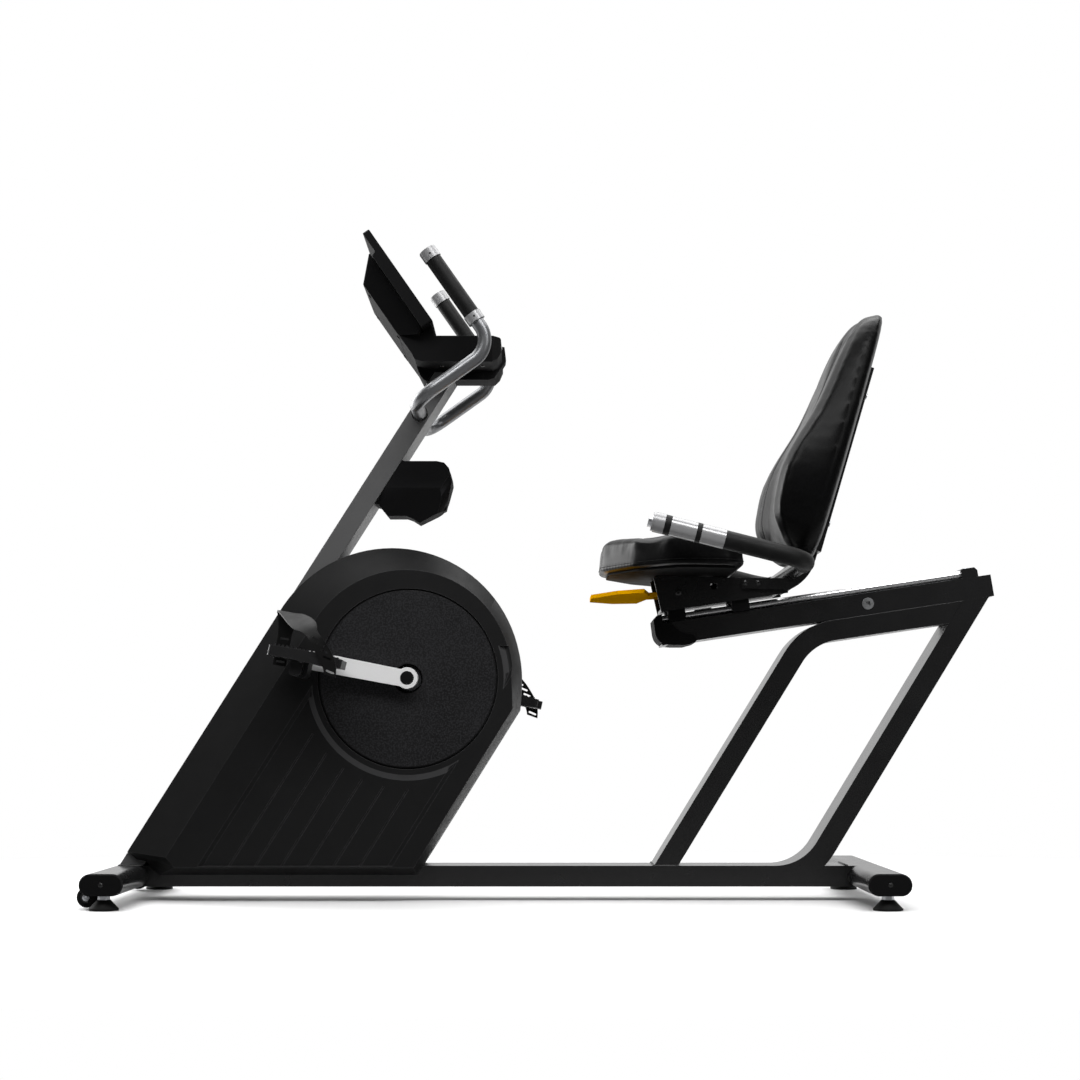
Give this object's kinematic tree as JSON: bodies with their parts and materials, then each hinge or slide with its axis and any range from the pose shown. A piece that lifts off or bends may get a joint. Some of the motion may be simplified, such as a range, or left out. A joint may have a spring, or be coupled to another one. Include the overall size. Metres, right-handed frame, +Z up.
{
  "type": "recumbent exercise bike",
  "caption": "Recumbent exercise bike with a step-through frame, sliding seat on a sloping rail, moulded drive housing, console and handlebars",
  "frame": {"origin": "on the floor, midway along the bike's length and midway between its sides", "axes": "+Z up, +X from the crank towards the seat, -Y the rider's left, so the rider faces -X"},
  "size_m": [1.6551, 0.6358, 1.2301],
  "materials": {
    "frame_paint": "satin",
    "mast_paint": "satin metallic",
    "housing_plastic": "fine texture",
    "disc_plastic": "fine texture",
    "black_plastic": "satin",
    "screen_glass": "gloss",
    "rubber_black": "matte",
    "grip_foam": "matte",
    "aluminium_satin": "satin",
    "steel_zinc": "zinc plated",
    "contact_steel": "polished",
    "rod_chrome": "polished",
    "iron_grey": "machined",
    "crank_silver": "satin",
    "pedal_plastic": "satin",
    "cushion_leather": "soft gloss",
    "pan_grey": "satin",
    "lever_yellow": "satin",
    "belt_rubber": "matte"
  },
  "bodies": {
    "base": {"main_tube": "frame_paint", "front_leg": "frame_paint", "front_stabilizer": "frame_paint", "rear_stabilizer": "frame_paint", "stabilizer_caps": "black_plastic", "foot_pads": "rubber_black", "foot_studs": "steel_zinc", "wheel_axles": "steel_zinc", "mast": "mast_paint", "drive_bracket": "frame_paint", "drive_bearings": "steel_zinc", "drive_belt": "belt_rubber", "housing_left": "housing_plastic", "housing_right": "housing_plastic", "disc_cover_left": "disc_plastic", "disc_cover_right": "disc_plastic", "console_pod": "black_plastic", "console_shell": "black_plastic", "display_panel": "black_plastic", "display_glass": "screen_glass", "accessory_tray": "black_plastic", "handlebar": "mast_paint", "handlebar_grips": "grip_foam", "grip_rings": "aluminium_satin", "bottle_holder": "black_plastic", "seat_rail": "frame_paint", "rail_nose_cap": "black_plastic", "guide_rods": "rod_chrome", "rod_stop": "frame_paint", "lock_strip": "steel_zinc", "rail_plug": "black_plastic"},
    "wheel_l": {"transport_wheel_left": "rubber_black"},
    "wheel_r": {"transport_wheel_right": "rubber_black"},
    "crank": {"crank_axle": "steel_zinc", "crank_arm_left": "crank_silver", "crank_arm_right": "crank_silver", "crank_caps": "black_plastic", "drive_pulley": "pedal_plastic", "pedal_spindles": "steel_zinc"},
    "pedal_l": {"pedal_left": "pedal_plastic", "pedal_strap_left": "rubber_black"},
    "pedal_r": {"pedal_right": "pedal_plastic", "pedal_strap_right": "rubber_black"},
    "fly": {"flywheel": "iron_grey", "flywheel_shaft": "steel_zinc"},
    "brake": {"brake_yoke": "steel_zinc"},
    "seat": {"seat_carriage": "frame_paint", "bearing_blocks": "black_plastic", "seat_pan": "pan_grey", "seat_pad": "cushion_leather", "seat_upright": "frame_paint", "backrest_pad": "cushion_leather", "side_handles": "frame_paint", "handle_sleeves": "grip_foam", "pulse_plates": "contact_steel", "handle_caps": "aluminium_satin"},
    "lever": {"seat_lever": "lever_yellow"},
    "shoe": {"lock_shoe": "steel_zinc"},
    "button_l": {"handle_button_left": "black_plastic"},
    "button_r": {"handle_button_right": "black_plastic"}
  },
  "joints": [
    {"name": "crank_spin", "type": "hinge", "parent": "base", "child": "crank", "pos_m": [-0.26, 0, 0.406], "axis": [0, 1, 0], "continuous": true},
    {"name": "flywheel_spin", "type": "hinge", "parent": "base", "child": "fly", "pos_m": [-0.427, 0, 0.2], "axis": [0, 1, 0], "continuous": true},
    {"name": "pedal_left_spin", "type": "hinge", "parent": "crank", "child": "pedal_l", "pos_m": [-0.43704, -0.19, 0.43849], "axis": [0, 1, 0], "continuous": true},
    {"name": "pedal_right_spin", "type": "hinge", "parent": "crank", "child": "pedal_r", "pos_m": [-0.08296, 0.19, 0.37351], "axis": [0, 1, 0], "continuous": true},
    {"name": "wheel_left_spin", "type": "hinge", "parent": "base", "child": "wheel_l", "pos_m": [-0.809, -0.222, 0.0205], "axis": [0, 1, 0], "continuous": true},
    {"name": "wheel_right_spin", "type": "hinge", "parent": "base", "child": "wheel_r", "pos_m": [-0.809, 0.222, 0.0205], "axis": [0, 1, 0], "continuous": true},
    {"name": "brake_swing", "type": "hinge", "parent": "base", "child": "brake", "pos_m": [-0.439, 0, 0.3395], "axis": [0, 1, 0], "range_deg": [0, 10]},
    {"name": "seat_slide", "type": "slide", "parent": "base", "child": "seat", "axis": [0.989, 0, 0.1478], "range_m": [0, 0.38]},
    {"name": "seat_release", "type": "hinge", "parent": "seat", "child": "lever", "pos_m": [0.239, 0, 0.567], "axis": [0, 1, 0], "range_deg": [0, 8], "stiffness_Nm_per_rad": 8, "springref_deg": -11.46},
    {"name": "shoe_lift", "type": "slide", "parent": "seat", "child": "shoe", "axis": [-0.1478, 0, 0.989], "range_m": [0, 0.003]},
    {"name": "button_left_press", "type": "slide", "parent": "seat", "child": "button_l", "axis": [0.9694, 0, -0.2453], "range_m": [0, 0.003], "stiffness_N_per_m": 900, "springref_m": -0.002},
    {"name": "button_right_press", "type": "slide", "parent": "seat", "child": "button_r", "axis": [0.9694, 0, -0.2453], "range_m": [0, 0.003], "stiffness_N_per_m": 900, "springref_m": -0.002}
  ],
  "couplings": [
    {"joint": "flywheel_spin", "follows": "crank_spin", "ratio": 5},
    {"joint": "shoe_lift", "follows": "seat_release", "m_per_rad": 0.021486}
  ]
}
